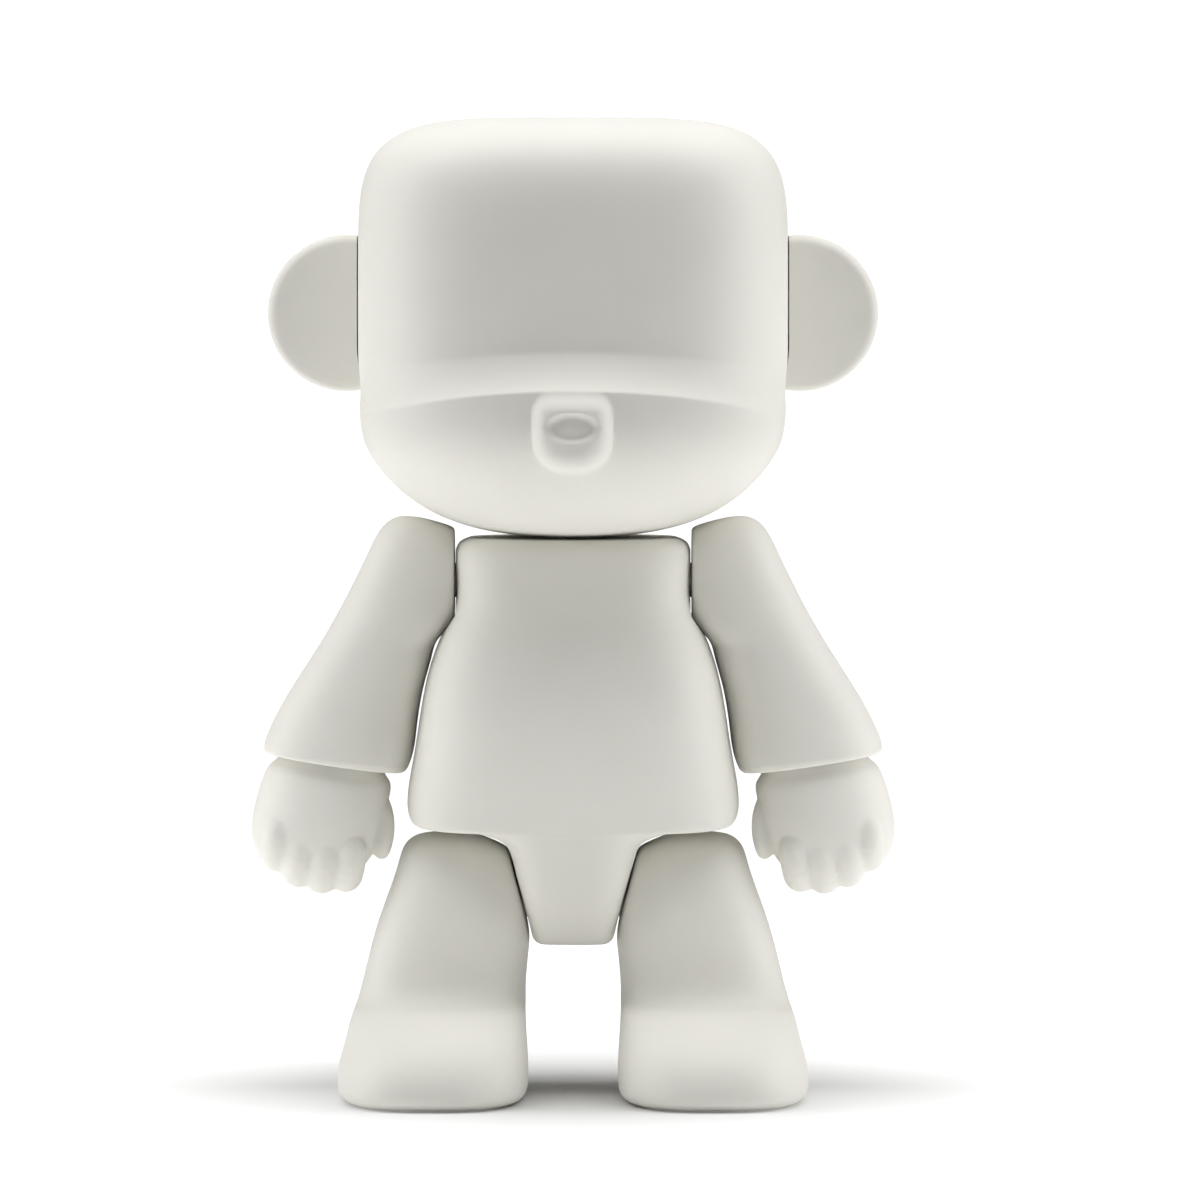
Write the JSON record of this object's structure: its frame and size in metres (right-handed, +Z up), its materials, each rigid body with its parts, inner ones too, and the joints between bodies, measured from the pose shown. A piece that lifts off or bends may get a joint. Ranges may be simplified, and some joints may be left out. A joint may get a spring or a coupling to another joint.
{
  "type": "articulated blank art figure",
  "caption": "Blank white standing figure with a big rounded-box head, disc ears, flared sleeves, fists and boots, turning on hidden studs at the neck, shoulders, wrists and hips.",
  "frame": {"origin": "centre of the bounding box on the ground plane, under the standing figure", "axes": "+Z up, the figure faces -Y, its own left side is at +X"},
  "size_m": [0.1342, 0.094, 0.2032],
  "materials": {
    "casing": "plain matte moulded white",
    "hand_vinyl": "plain matte moulded white, slightly softer",
    "sole_plate": "fine moulded texture",
    "stud_nylon": "smooth natural nylon",
    "washer_rubber": "dull soft rubber"
  },
  "bodies": {
    "torso": {"torso_front_shell": "casing", "torso_rear_shell": "casing", "neck_stud": "stud_nylon"},
    "head": {"head_front_shell": "casing", "head_rear_shell": "casing", "ear_left": "casing", "ear_right": "casing", "neck_washer": "washer_rubber"},
    "arm_left": {"arm_left_front_shell": "casing", "arm_left_rear_shell": "casing", "shoulder_left_stud": "stud_nylon", "shoulder_left_washer": "washer_rubber", "wrist_left_washer": "washer_rubber"},
    "hand_left": {"hand_left": "hand_vinyl", "wrist_left_stud": "stud_nylon"},
    "leg_left": {"leg_left_front_shell": "casing", "leg_left_rear_shell": "casing", "foot_sole_left": "sole_plate", "hip_left_stud": "stud_nylon", "hip_left_washer": "washer_rubber"},
    "arm_right": {"arm_right_front_shell": "casing", "arm_right_rear_shell": "casing", "shoulder_right_stud": "stud_nylon", "shoulder_right_washer": "washer_rubber", "wrist_right_washer": "washer_rubber"},
    "hand_right": {"hand_right": "hand_vinyl", "wrist_right_stud": "stud_nylon"},
    "leg_right": {"leg_right_front_shell": "casing", "leg_right_rear_shell": "casing", "foot_sole_right": "sole_plate", "hip_right_stud": "stud_nylon", "hip_right_washer": "washer_rubber"}
  },
  "joints": [
    {"name": "neck_swivel", "type": "hinge", "parent": "torso", "child": "head", "pos_m": [0, 0.004, 0.1162], "axis": [0, 0, 1], "continuous": true},
    {"name": "shoulder_left", "type": "hinge", "parent": "torso", "child": "arm_left", "pos_m": [0.0247, 0.004, 0.107], "axis": [-1, 0, 0], "range_deg": [-90, 110]},
    {"name": "wrist_left", "type": "hinge", "parent": "arm_left", "child": "hand_left", "pos_m": [0.05035, 0.004, 0.0689], "axis": [-0.1537, 0, 0.9881], "continuous": true},
    {"name": "hip_left", "type": "hinge", "parent": "torso", "child": "leg_left", "pos_m": [0.01068, 0.004, 0.04], "axis": [-0.9678, 0, 0.2516], "range_deg": [-50, 85]},
    {"name": "shoulder_right", "type": "hinge", "parent": "torso", "child": "arm_right", "pos_m": [-0.0247, 0.004, 0.107], "axis": [-1, 0, 0], "range_deg": [-90, 110]},
    {"name": "wrist_right", "type": "hinge", "parent": "arm_right", "child": "hand_right", "pos_m": [-0.05035, 0.004, 0.0689], "axis": [0.1537, 0, 0.9881], "continuous": true},
    {"name": "hip_right", "type": "hinge", "parent": "torso", "child": "leg_right", "pos_m": [-0.01068, 0.004, 0.04], "axis": [-0.9678, 0, -0.2516], "range_deg": [-50, 85]}
  ]
}
